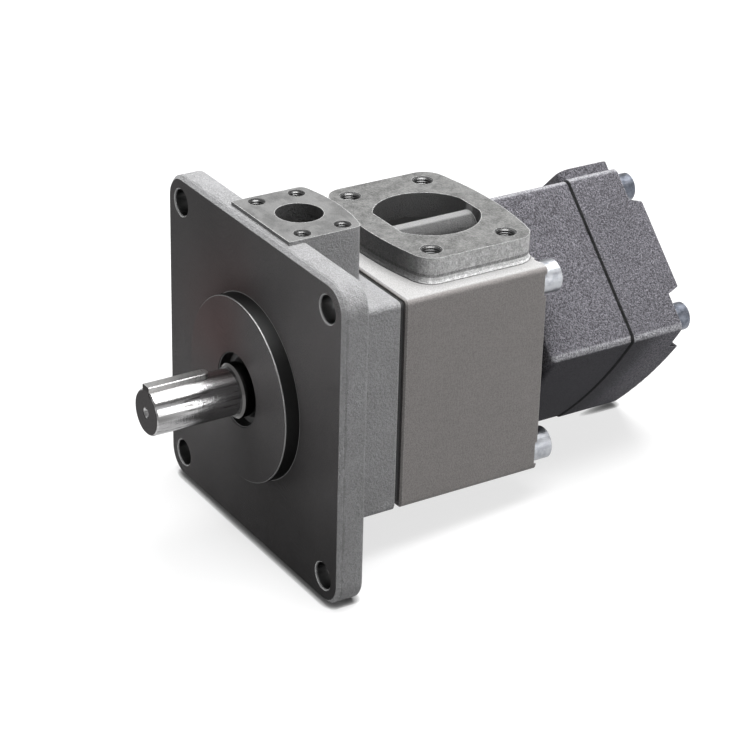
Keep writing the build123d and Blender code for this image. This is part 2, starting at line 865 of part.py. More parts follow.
with BuildPart() as bearing_cage:
    revolve(
        band(
            pitch_radius - cage_wall / 2,
            pitch_radius + cage_wall / 2,
            bearing_front + cage_rim,
            bearing_back - cage_rim,
        ),
        axis=Axis.Y,
    )
    with Locations(facing(bearing_middle)):
        with PolarLocations(pitch_radius, ball_count):
            Cylinder(
                ball_diameter / 2 + cage_play, 2 * cage_wall, rotation=(0, 90, 0), mode=Mode.SUBTRACT
            )

# Snap rings that hold the bearing in the body and on the shaft
body_ring = snap_ring(
    bearing_outside / 2 + body_groove_depth - groove_play - body_ring_height,
    bearing_outside / 2 + body_groove_depth - groove_play,
    bearing_back,
    body_ring_thickness,
)
with BuildPart() as bearing_snap_ring:
    add(body_ring)

shaft_ring = snap_ring(
    journal_diameter / 2 - shaft_groove_depth + push_fit,
    journal_diameter / 2 - shaft_groove_depth + shaft_ring_height,
    bearing_back,
    shaft_ring_thickness,
)
with BuildPart() as shaft_snap_ring:
    add(shaft_ring)

# Shaft seal: a shell in the pilot's recess, with its lip on the shaft
with BuildPart() as shaft_seal:
    revolve(
        turned(
            (seal_outside / 2 - push_fit, seal_front),
            (seal_outside / 2 - push_fit, seal_back),
            (seal_outside / 2 - seal_shell, seal_back),
            (seal_outside / 2 - seal_shell, seal_front + 2 * seal_shell),
            (seal_inner + seal_shell, seal_front + 2 * seal_shell),
            (seal_inner, seal_back - seal_shell),
            (seal_lip, seal_back - 2 * seal_shell),
            (seal_lip, seal_back - 3 * seal_shell),
            (seal_inner - seal_shell / 2, seal_front + seal_shell),
            (seal_inner, seal_front),
        ),
        axis=Axis.Y,
    )

# Large cartridge: two side plates with the cam ring and the rotor between them
with BuildPart() as large_front_plate:
    revolve(
        turned(
            (neck_passage, large_front - large_hub_length),
            (large_hub_diameter / 2, large_front - large_hub_length),
            (large_hub_diameter / 2, large_front),
            (large_bore / 2 - plate_fit, large_front),
            (large_bore / 2 - plate_fit, large_ring_front),
            (neck_passage, large_ring_front),
        ),
        axis=Axis.Y,
    )
    revolve(
        band(
            large_hub_diameter / 2 - seal_groove_depth,
            large_hub_diameter / 2 + cut_past,
            hub_seal_y - seal_groove_width / 2,
            hub_seal_y + seal_groove_width / 2,
        ),
        axis=Axis.Y,
        mode=Mode.SUBTRACT,
    )
    large_delivery = kidneys(
        facing(large_ring_front), large_cam_minor + large_cam_stroke / 2, delivery_angles
    )
    extrude(large_delivery, amount=large_plate_front, mode=Mode.SUBTRACT)
    with BuildSketch(facing(large_ring_front)):
        with Locations(*large_pin_places):
            Circle(large_pin_diameter / 2 + push_fit)
        with Locations(*large_screw_places):
            Circle(large_screw_diameter / 2 + thread_fit)
    extrude(amount=large_plate_front - blind_floor, mode=Mode.SUBTRACT)

with BuildPart() as large_cam_ring:
    large_cam = cam_plan(
        facing(large_ring_front), large_bore / 2 - plate_fit, large_cam_minor, large_cam_stroke
    )
    extrude(large_cam, amount=-large_ring_width)
    with BuildSketch(facing(large_ring_front)):
        with Locations(*large_pin_places):
            Circle(large_pin_diameter / 2 + push_fit)
        with Locations(*large_screw_places):
            Circle((large_screw_diameter + screw_clearance) / 2)
    extrude(amount=-large_ring_width, mode=Mode.SUBTRACT)

with BuildPart() as large_rotor:
    large_rotor_plan = rotor_plan(
        facing(large_ring_front + rotor_side_play),
        large_cam_minor - rotor_tip_play,
        large_vanes,
        large_vane_thickness,
        large_slot_depth,
        large_slot_root,
    )
    extrude(large_rotor_plan, amount=-(large_ring_width - 2 * rotor_side_play))
    large_rotor_bore = spline_plan(
        facing(large_ring_front),
        large_spline_root + 2 * spline_fit,
        large_spline_tip + 2 * spline_fit,
        large_spline_width + 2 * spline_fit,
        large_spline_teeth,
    )
    extrude(large_rotor_bore, amount=-large_ring_width, mode=Mode.SUBTRACT)

with BuildPart() as large_rear_plate:
    revolve(
        band(
            middle_diameter / 2 + shaft_passage_play, large_bore / 2 - plate_fit, large_ring_back, large_back
        ),
        axis=Axis.Y,
    )
    large_suction = kidneys(facing(large_back), large_cam_minor + large_cam_stroke / 2, suction_angles)
    extrude(large_suction, amount=large_plate_back, mode=Mode.SUBTRACT)
    with BuildSketch(facing(large_ring_back)):
        with Locations(*large_pin_places):
            Circle(large_pin_diameter / 2 + push_fit)
    extrude(amount=-(large_plate_back - blind_floor), mode=Mode.SUBTRACT)
    with BuildSketch(facing(large_back)):
        with Locations(*large_screw_places):
            Circle((large_screw_diameter + screw_clearance) / 2)
    extrude(amount=large_plate_back, mode=Mode.SUBTRACT)
    with BuildSketch(facing(large_back)):
        with Locations(*large_screw_places):
            Circle(large_screw_diameter * head_ratio / 2 + screw_clearance / 2)
    extrude(amount=large_screw_diameter + head_sink, mode=Mode.SUBTRACT)

with BuildPart() as large_dowels:
    with BuildSketch(facing(large_ring_front - large_plate_front + pin_inset)):
        with Locations(*large_pin_places):
            Circle(large_pin_diameter / 2)
    extrude(amount=-(large_back - large_front - 2 * pin_inset))
    chamfer(large_dowels.edges().group_by(Axis.Y)[0], head_chamfer)
    chamfer(large_dowels.edges().group_by(Axis.Y)[-1], head_chamfer)

large_screw = cap_screw(
    large_screw_diameter,
    large_back - large_screw_diameter - head_sink - large_front - pin_inset,
    large_back - large_screw_diameter - head_sink,
)
with BuildPart() as large_cartridge_screws:
    with Locations(*placed(large_screw_places)):
        add(large_screw)

# Small cartridge, built like the large one and turned with the rear pump
with BuildPart() as small_front_plate:
    revolve(
        band(
            middle_diameter / 2 + shaft_passage_play, small_bore / 2 - plate_fit, small_front, small_ring_front
        ),
        axis=Axis.Y,
    )
    plate_suction = kidneys(
        facing(small_ring_front, rear_turn), small_cam_minor + small_cam_stroke / 2, suction_angles
    )
    extrude(plate_suction, amount=small_plate_front, mode=Mode.SUBTRACT)
    with BuildSketch(facing(small_ring_front, rear_turn)):
        with Locations(*small_pin_places):
            Circle(small_pin_diameter / 2 + push_fit)
        with Locations(*small_screw_places):
            Circle(small_screw_diameter / 2 + thread_fit)
    extrude(amount=small_plate_front - blind_floor, mode=Mode.SUBTRACT)

with BuildPart() as small_cam_ring:
    small_cam = cam_plan(
        facing(small_ring_front, rear_turn), small_bore / 2 - plate_fit, small_cam_minor, small_cam_stroke
    )
    extrude(small_cam, amount=-small_ring_width)
    with BuildSketch(facing(small_ring_front, rear_turn)):
        with Locations(*small_pin_places):
            Circle(small_pin_diameter / 2 + push_fit)
        with Locations(*small_screw_places):
            Circle((small_screw_diameter + screw_clearance) / 2)
    extrude(amount=-small_ring_width, mode=Mode.SUBTRACT)

with BuildPart() as small_rotor:
    small_rotor_plan = rotor_plan(
        facing(small_ring_front + rotor_side_play, rear_turn),
        small_cam_minor - rotor_tip_play,
        small_vanes,
        small_vane_thickness,
        small_slot_depth,
        small_slot_root,
    )
    extrude(small_rotor_plan, amount=-(small_ring_width - 2 * rotor_side_play))
    small_rotor_bore = spline_plan(
        facing(small_ring_front, rear_turn),
        small_spline_root + 2 * spline_fit,
        small_spline_tip + 2 * spline_fit,
        small_spline_width + 2 * spline_fit,
        small_spline_teeth,
    )
    extrude(small_rotor_bore, amount=-small_ring_width, mode=Mode.SUBTRACT)

with BuildPart() as small_rear_plate:
    revolve(
        turned(
            (bush_outside + push_fit, small_ring_back),
            (small_bore / 2 - plate_fit, small_ring_back),
            (small_bore / 2 - plate_fit, small_back),
            (small_hub_diameter / 2, small_back),
            (small_hub_diameter / 2, small_back + small_hub_length),
            (bush_outside + push_fit, small_back + small_hub_length),
        ),
        axis=Axis.Y,
    )
    revolve(
        band(
            small_hub_diameter / 2 - seal_groove_depth,
            small_hub_diameter / 2 + cut_past,
            rear_hub_seal_y - seal_groove_width / 2,
            rear_hub_seal_y + seal_groove_width / 2,
        ),
        axis=Axis.Y,
        mode=Mode.SUBTRACT,
    )
    small_delivery = kidneys(
        facing(small_back, rear_turn), small_cam_minor + small_cam_stroke / 2, delivery_angles
    )
    extrude(small_delivery, amount=small_plate_back, mode=Mode.SUBTRACT)
    with BuildSketch(facing(small_ring_back, rear_turn)):
        with Locations(*small_pin_places):
            Circle(small_pin_diameter / 2 + push_fit)
    extrude(amount=-(small_plate_back - blind_floor), mode=Mode.SUBTRACT)
    with BuildSketch(facing(small_back, rear_turn)):
        with Locations(*small_screw_places):
            Circle((small_screw_diameter + screw_clearance) / 2)
    extrude(amount=small_plate_back, mode=Mode.SUBTRACT)
    with BuildSketch(facing(small_back, rear_turn)):
        with Locations(*small_screw_places):
            Circle(small_screw_diameter * head_ratio / 2 + screw_clearance / 2)
    extrude(amount=small_screw_diameter + head_sink, mode=Mode.SUBTRACT)

with BuildPart() as small_dowels:
    with BuildSketch(facing(small_front + pin_inset, rear_turn)):
        with Locations(*small_pin_places):
            Circle(small_pin_diameter / 2)
    extrude(amount=-(small_back - small_front - 2 * pin_inset))
    chamfer(small_dowels.edges().group_by(Axis.Y)[0], head_chamfer)
    chamfer(small_dowels.edges().group_by(Axis.Y)[-1], head_chamfer)

small_screw = cap_screw(
    small_screw_diameter,
    small_back - small_screw_diameter - head_sink - small_front - pin_inset,
    small_back - small_screw_diameter - head_sink,
)
with BuildPart() as small_cartridge_screws:
    with Locations(*placed(small_screw_places, rear_turn)):
        add(small_screw)

# Plain bush for the shaft's rear journal, in the small cartridge's rear plate
with BuildPart() as rear_bush:
    revolve(
        band(
            rear_journal_diameter / 2 + bush_play,
            bush_outside,
            small_ring_back + bush_inset,
            small_back + small_hub_length - bush_inset,
        ),
        axis=Axis.Y,
    )

# O-rings, each in its own groove
front_plate_ring = seal_ring(large_hub_diameter / 2 - seal_groove_depth / 2, hub_seal_y)
with BuildPart() as front_plate_seal:
    add(front_plate_ring)

body_joint_ring = seal_ring(joint_seal_radius, front_body_end + seal_groove_depth / 2)
with BuildPart() as body_joint_seal:
    add(body_joint_ring)

rear_joint_ring = seal_ring(rear_joint_seal_radius, centre_body_end + seal_groove_depth / 2)
with BuildPart() as rear_joint_seal:
    add(rear_joint_ring)

cover_joint_ring = seal_ring(cover_joint_seal_radius, rear_seam + seal_groove_depth / 2)
with BuildPart() as cover_joint_seal:
    add(cover_joint_ring)

rear_plate_ring = seal_ring(small_hub_diameter / 2 - seal_groove_depth / 2, rear_hub_seal_y)
with BuildPart() as rear_plate_seal:
    add(rear_plate_ring)

# Cap screws that hold the castings together
body_screw = cap_screw(
    body_screw_diameter, body_screw_seat_y - front_body_end + body_screw_reach, body_screw_seat_y
)
with BuildPart() as body_screws:
    with Locations(*placed(body_screw_places)):
        add(body_screw)

cover_screw = cap_screw(cover_screw_diameter, cover_seat - rear_seam + cover_screw_reach, cover_seat)
with BuildPart() as cover_screws:
    with Locations(*placed(cover_screw_places, rear_turn)):
        add(cover_screw)

rear_body_screw = cap_screw(
    rear_body_screw_diameter,
    rear_screw_seat_y - centre_body_end + rear_body_screw_reach + register_length - tip_room,
    rear_screw_seat_y,
)
with BuildPart() as rear_body_screws:
    with Locations(*placed(rear_body_screw_places, rear_turn)):
        add(rear_body_screw)

assembly = {
    "front_body": front_body,
    "centre_body": centre_body,
    "rear_body": rear_body,
    "rear_cover": rear_cover,
    "drive_shaft": drive_shaft,
    "shaft_key": shaft_key,
    "shaft_seal": shaft_seal,
    "bearing_outer_ring": bearing_outer_ring,
    "bearing_inner_ring": bearing_inner_ring,
    "bearing_balls": bearing_balls,
    "bearing_cage": bearing_cage,
    "bearing_snap_ring": bearing_snap_ring,
    "shaft_snap_ring": shaft_snap_ring,
    "large_front_plate": large_front_plate,
    "large_cam_ring": large_cam_ring,
    "large_rotor": large_rotor,
    "large_rear_plate": large_rear_plate,
    "large_dowels": large_dowels,
    "large_cartridge_screws": large_cartridge_screws,
    "small_front_plate": small_front_plate,
    "small_cam_ring": small_cam_ring,
    "small_rotor": small_rotor,
    "small_rear_plate": small_rear_plate,
    "small_dowels": small_dowels,
    "small_cartridge_screws": small_cartridge_screws,
    "rear_bush": rear_bush,
    "front_plate_seal": front_plate_seal,
    "body_joint_seal": body_joint_seal,
    "rear_joint_seal": rear_joint_seal,
    "cover_joint_seal": cover_joint_seal,
    "rear_plate_seal": rear_plate_seal,
    "body_screws": body_screws,
    "cover_screws": cover_screws,
    "rear_body_screws": rear_body_screws,
}

# Vanes, one in each rotor slot
for number in range(large_vanes):
    slot = outward(360 / large_vanes * number, large_cam_minor - vane_tip_play)
    with BuildPart() as large_vane:
        with BuildSketch(slot):
            with Locations((0, (large_ring_front + large_ring_back) / 2)):
                Rectangle(large_vane_thickness, large_ring_width - 2 * rotor_side_play)
        extrude(amount=-large_vane_height)
        tip = large_vane.faces().sort_by(Axis((0, 0, 0), slot.z_dir))[-1]
        fillet(tip.edges().filter_by(Axis.Y), large_vane_thickness * vane_rounding)
    assembly[f"large_vane_{number + 1:02d}"] = large_vane

for number in range(small_vanes):
    slot = outward(rear_turn + 360 / small_vanes * number, small_cam_minor - vane_tip_play)
    with BuildPart() as small_vane:
        with BuildSketch(slot):
            with Locations((0, (small_ring_front + small_ring_back) / 2)):
                Rectangle(small_vane_thickness, small_ring_width - 2 * rotor_side_play)
        extrude(amount=-small_vane_height)
        tip = small_vane.faces().sort_by(Axis((0, 0, 0), slot.z_dir))[-1]
        fillet(tip.edges().filter_by(Axis.Y), small_vane_thickness * vane_rounding)
    assembly[f"small_vane_{number + 1:02d}"] = small_vane

os.makedirs("parts", exist_ok=True)
for name, piece in assembly.items():
    piece.part.label = name
    export_step(piece.part, f"parts/{name}.step")
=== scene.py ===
import json
import math
import bmesh
import bpy
from mathutils import Matrix, Vector


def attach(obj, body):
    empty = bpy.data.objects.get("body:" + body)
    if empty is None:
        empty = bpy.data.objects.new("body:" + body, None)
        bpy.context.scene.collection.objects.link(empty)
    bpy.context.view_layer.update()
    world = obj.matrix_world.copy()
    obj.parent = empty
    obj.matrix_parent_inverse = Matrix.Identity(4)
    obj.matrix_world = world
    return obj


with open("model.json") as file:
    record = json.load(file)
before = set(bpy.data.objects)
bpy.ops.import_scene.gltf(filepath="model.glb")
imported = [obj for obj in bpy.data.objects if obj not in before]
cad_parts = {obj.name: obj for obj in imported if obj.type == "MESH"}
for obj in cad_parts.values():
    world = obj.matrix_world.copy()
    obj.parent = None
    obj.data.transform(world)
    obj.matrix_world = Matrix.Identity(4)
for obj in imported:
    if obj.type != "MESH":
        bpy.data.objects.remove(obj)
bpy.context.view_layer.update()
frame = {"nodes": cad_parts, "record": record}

nodes = frame["nodes"]
print("frame loaded:", len(nodes), "nodes")

# the threads, the camera and the floor's line are in millimetres, everything else in metres
mm = 0.001
halfRoot = math.sqrt(0.5)


class Wire:
    # a shader socket that takes part in sums as a plain number does
    def __init__(self, tree, socket):
        self.tree = tree
        self.socket = socket

    def maths(self, operation, *others):
        values = {0: self}
        for place, other in enumerate(others):
            values[place + 1] = other
        return self.tree.node("Math", {"operation": operation}, values)

    def __add__(self, other):
        return self.maths("ADD", other)

    def __radd__(self, other):
        return self.maths("ADD", other)

    def __sub__(self, other):
        return self.maths("SUBTRACT", other)

    def __rsub__(self, other):
        return self.tree.node("Math", {"operation": "SUBTRACT"}, {0: other, 1: self})

    def __mul__(self, other):
        return self.maths("MULTIPLY", other)

    def __rmul__(self, other):
        return self.maths("MULTIPLY", other)

    def __abs__(self):
        return self.maths("ABSOLUTE")


class Tree:
    # the nodes of a material or of the world
    def __init__(self, owner):
        owner.use_nodes = True
        self.nodes = owner.node_tree.nodes
        self.links = owner.node_tree.links
        self.nodes.clear()

    def node(self, kind, settings=None, sockets=None, output=0):
        made = self.nodes.new("ShaderNode" + kind)
        for name, value in (settings or {}).items():
            setattr(made, name, value)
        for name, value in (sockets or {}).items():
            self.feed(made.inputs[name], value)
        if made.outputs:
            return Wire(self, made.outputs[output])

    def feed(self, socket, value):
        if isinstance(value, Wire):
            self.links.new(value.socket, socket)
        elif isinstance(value, tuple) and len(value) == 3 and len(socket.default_value) == 4:
            socket.default_value = (*value, 1)
        else:
            socket.default_value = value

    def either(self, *masks):
        joined = masks[0]
        for mask in masks[1:]:
            joined = joined.maths("MAXIMUM", mask)
        return joined

    def ray(self, kind):
        return self.node("LightPath", {}, {}, f"Is {kind} Ray")

    def seen(self):
        # 1 for the rays that show a backdrop: to the camera, in a gloss and through glass
        return self.either(self.ray("Camera"), self.ray("Glossy"), self.ray("Transmission"))


class Finish(Tree):
    # a material, with the masks and patterns that its colour is mixed from
    def __init__(self, name, metallic=0.0, specular=0.3):
        self.material = bpy.data.materials.new(name)
        super().__init__(self.material)
        self.shader = self.nodes.new("ShaderNodeBsdfPrincipled")
        self.shader.inputs["Metallic"].default_value = metallic
        self.shader.inputs["Specular IOR Level"].default_value = specular
        output = self.nodes.new("ShaderNodeOutputMaterial")
        self.links.new(self.shader.outputs[0], output.inputs["Surface"])
        self.place = self.node("TexCoord", output="Object")
        self.x = self.node("SeparateXYZ", {}, {0: self.place}, "X")
        self.y = self.node("SeparateXYZ", {}, {0: self.place}, "Y")
        self.z = self.node("SeparateXYZ", {}, {0: self.place}, "Z")

    def mix(self, factor, low, high):
        return self.node("Mix", {"data_type": "RGBA"}, {0: factor, 6: low, 7: high}, 2)

    def tone(self, colour, amount):
        # a colour made lighter or darker by a number round 1
        return self.node("VectorMath", {"operation": "SCALE"}, {0: colour, "Scale": amount})

    def step(self, value, low, high):
        settings = {"interpolation_type": "SMOOTHSTEP", "clamp": True}
        return self.node("MapRange", settings, {"Value": value, "From Min": low, "From Max": high})

    def above(self, value, limit, soft):
        # 0 under the limit and 1 over it, with the softness on either side
        return self.step(value, limit - soft, limit + soft)

    def below(self, value, limit, soft):
        return self.step(value, limit + soft, limit - soft)

    def band(self, value, middle, half):
        # 1 within half of the middle, and 0 outside
        return self.step(abs(value - middle), half * 1.25, half * 0.85)

    def noise(self, scale, detail=3.0, roughness=0.5, stretch=(1, 1, 1)):
        place = self.node("VectorMath", {"operation": "MULTIPLY"}, {0: self.place, 1: stretch})
        sockets = {"Vector": place, "Scale": scale, "Detail": detail, "Roughness": roughness}
        return self.node("TexNoise", {}, sockets, "Fac")

    def speckle(self, scale, half=0.14):
        # hard-edged grain, from 0 to 1, the harder the smaller the half
        return self.above(self.noise(scale, 4, 0.62), 0.5, half)

    def rings(self, scale, waver):
        settings = {"wave_type": "RINGS", "rings_direction": "Y"}
        sockets = {
            "Vector": self.place,
            "Scale": scale,
            "Distortion": waver,
            "Detail": 2.0,
            "Detail Scale": 4.0,
        }
        return self.node("TexWave", settings, sockets)

    def away(self, first, second, firstMiddle=0.0, secondMiddle=0.0):
        first = first - firstMiddle
        second = second - secondMiddle
        return self.node("Math", {"operation": "SQRT"}, {0: first * first + second * second})

    def radius(self):
        return self.away(self.x, self.z)

    def edges(self, reach, low=0.015, high=0.12):
        # 1 along the corners of the form, out to about the reach given
        rounded = self.node("Bevel", {"samples": 6}, {"Radius": reach})
        flat = self.node("NewGeometry", output="Normal")
        facing = self.node("VectorMath", {"operation": "DOT_PRODUCT"}, {0: rounded, 1: flat}, "Value")
        return self.step(1 - facing, low, high)

    def bump(self, height, distance, strength=1.0):
        sockets = {"Height": height, "Distance": distance, "Strength": strength}
        return self.node("Bump", {}, sockets)

    def end(self, colour, roughness, normal=None, metallic=None):
        self.feed(self.shader.inputs["Base Color"], colour)
        self.feed(self.shader.inputs["Roughness"], roughness)
        if normal:
            self.feed(self.shader.inputs["Normal"], normal)
        if metallic:
            self.feed(self.shader.inputs["Metallic"], metallic)
        return self.material


# In each finish, look is what may be changed. Form follows the part's own shape: a pair is a limit
# with its softness, or a band's middle with half its width, and a single number is a middle.

def frontFinish():
    look = {
        "turned": (0.042, 0.0403, 0.0408),
        "turnedWarm": (0.064, 0.044, 0.0435),
        "cast": (0.3, 0.3, 0.308),
        "castDark": (0.2, 0.2, 0.2),
        "pad": (0.106, 0.106, 0.105),
        "lip": (0.03, 0.03, 0.03),
        "rim": (0.04, 0.04, 0.04),
        "edgeWearAndPaintedLight": (0.22, 0.22, 0.22),
        "burrAndPaintedGlint": (0.85, 0.85, 0.85),
        "bore": (0.06, 0.06, 0.06),
        "hole": (0.09, 0.09, 0.09),
        "tapped": (0.035, 0.035, 0.035),
        "gloss": (0.5, 0.5, 0.5),
        "specular": 0.4,
        "roughness": 0.6,
        "grainScale": 1000,
        "coarseScale": 340,
        "blotchScale": 34,
        "turningScale": 330.0,
        "millScale": 300,
        "stainScale": 60,
        "raggedScale": 45,
        "raggedReach": 0.009,
        "lowPaintedShade": 0.5,
        "rimShade": 0.24,
        "lipPaintedShade": 0.85,
        "castWearAndPaintedGlint": 0.35,
        "padWearAndPaintedGlint": 0.5,
        "wearAndPaintedGlintReach": 0.0013,
        "bump": 0.0008,
    }
    form = {
        "face": (0.00025, 0.00015),
        "pilotWall": (0.0762, 0.0006),
        "pilotLength": (-0.0058, 0.0056),
        "pilotRim": (0.0759, 0.0003),
        "pilotFront": (-0.0120, 0.0004),
        "pilotFoot": (0.0766, 0.0003),
        "pilotBack": (0.0, 0.0002),
        "bore": (0.031, 0.0002),
        "boreFront": (-0.0125, 0.0001),
        "padTop": (0.1396, 0.0001),
        "portY": 0.0428,
        "port": (0.0191, 0.00005),
        "portTop": (0.1395, 0.0002),
        "holeAcross": 0.1143,
        "hole": (0.01125, 0.00015),
        "holeLength": (0.0122, 0.0112),
        "holeRim": (0.0117, 0.0004),
        "holeFront": (0.0006, 0.0006),
        "tapAcross": 0.03495,
        "tapAlong": 0.01785,
        "tap": (0.007, 0.0001),
        "tapFloor": (0.1125, 0.0025),
        "lip": (0.0077, 0.0005),
        "lipFoot": (0.13675, 0.00015),
        "rimBand": (0.0049, 0.0003),
        "warmRadius": (0.085, 0.065),
        "warmSide": (0.0, 0.03),
        "warmFoot": (0.01, 0.04),
        "low": (-0.055, 0.075),
    }
    finish = Finish("frontCasting", specular=look["specular"])
    finish.feed(finish.shader.inputs["Specular Tint"], look["gloss"])
    radius = finish.radius()
    grain = finish.speckle(look["grainScale"])
    coarse = finish.speckle(look["coarseScale"])
    blotch = finish.noise(look["blotchScale"], 4, 0.55)
    face = finish.below(finish.y, *form["face"])
    pilotSide = finish.band(radius, *form["pilotWall"]) * finish.band(finish.y, *form["pilotLength"])
    pilotEdge = finish.band(radius, *form["pilotRim"]) * finish.band(finish.y, *form["pilotFront"])
    pilotFoot = finish.band(radius, *form["pilotFoot"]) * finish.band(finish.y, *form["pilotBack"])
    padTop = finish.above(finish.z, *form["padTop"])
    bore = finish.below(radius, *form["bore"]) * finish.above(finish.y, *form["boreFront"])
    fromPort = finish.away(finish.x, finish.y, 0, form["portY"])
    inPort = finish.below(fromPort, *form["port"]) * finish.below(finish.z, *form["portTop"])
    # the flange's own holes, one mask for the four
    fromHole = finish.away(abs(finish.x), abs(finish.z), form["holeAcross"], form["holeAcross"])
    hole = finish.below(fromHole, *form["hole"]) * finish.band(finish.y, *form["holeLength"])
    holeEdge = finish.band(fromHole, *form["holeRim"]) * finish.band(finish.y, *form["holeFront"])
    # the same for the pad's four tapped holes
    fromTap = finish.away(abs(finish.x), abs(finish.y - form["portY"]), form["tapAcross"], form["tapAlong"])
    tapped = finish.below(fromTap, *form["tap"]) * finish.above(finish.z, *form["tapFloor"])
    # concentric tool marks of the lathe
    turning = finish.rings(look["turningScale"], 1.2)
    warm = finish.below(radius, *form["warmRadius"]) * finish.below(finish.x, *form["warmSide"])
    warm = warm * finish.above(finish.z, *form["warmFoot"])
    # painted shade: the turned face is darker towards its bottom
    low = finish.below(finish.z, *form["low"]) * look["lowPaintedShade"]
    turned = finish.mix(warm, look["turned"], look["turnedWarm"])
    turned = finish.tone(turned, 1.12 - low + (turning - 0.5) * 0.16 + (blotch - 0.5) * 0.3)
    cast = finish.mix(blotch, look["castDark"], look["cast"])
    cast = finish.tone(cast, 0.86 + grain * 0.26 + coarse * 0.12)
    millMarks = finish.noise(look["millScale"], 4, 0.6, (0.1, 1, 1))
    stain = finish.above(finish.noise(look["stainScale"], 5, 0.65), 0.5, 0.12)
    pad = finish.tone(look["pad"], 0.4 + millMarks * 0.5 + stain * 0.4 + grain * 0.3)
    # a darker band with a ragged edge behind the flange's front rim
    ragged = finish.y + (finish.noise(look["raggedScale"], 4, 0.6) - 0.5) * look["raggedReach"]
    rimBand = finish.below(ragged, *form["rimBand"]) * (1 - face)
    cast = finish.tone(cast, 1 - rimBand * look["rimShade"])
    # painted shade: the forward-facing step in front of the pad is painted dark
    lip = finish.band(finish.y, *form["lip"]) * finish.above(finish.z, *form["lipFoot"])
    cast = finish.mix(lip * look["lipPaintedShade"], cast, look["lip"])
    # partly edge wear, partly painted glint: the casting's corners are lighter, as burrs and as light catching
    # them
    wornAndPaintedGlint = finish.edges(look["wearAndPaintedGlintReach"]) * (0.35 + grain * 0.65) * (1 - face)
    cast = finish.mix(wornAndPaintedGlint * look["castWearAndPaintedGlint"], cast, look["burrAndPaintedGlint"])
    pad = finish.mix(wornAndPaintedGlint * look["padWearAndPaintedGlint"], pad, look["burrAndPaintedGlint"])
    colour = finish.mix(face, cast, turned)
    colour = finish.mix(padTop, colour, pad)
    # painted shade: the tapped holes' walls are dark
    colour = finish.mix(tapped, colour, look["tapped"])
    colour = finish.mix(pilotSide, colour, look["rim"])
    # painted highlight: thin light lines on the pilot's front chamfer, at its foot and round the flange holes'
    # rims
    colour = finish.mix(finish.either(pilotEdge, pilotFoot, holeEdge), colour, look["edgeWearAndPaintedLight"])
    colour = finish.mix(hole, colour, look["hole"])
    # painted shade: the bore and the delivery port are dark inside
    colour = finish.mix(finish.either(bore, inPort), colour, look["bore"])
    machined = finish.either(face, padTop, pilotSide)
    metal = finish.either(face * 0.92, pilotSide, hole, holeEdge, pilotEdge, padTop * 0.25)
    rough = look["roughness"] - machined * 0.2 - hole * 0.25 + padTop * 0.08
    skin = (grain * 0.6 + coarse * 0.7) * (1 - finish.either(machined, hole))
    height = skin + turning * face * 0.5 + millMarks * padTop * 0.25
    return finish.end(colour, rough, finish.bump(height, look["bump"]), metal)


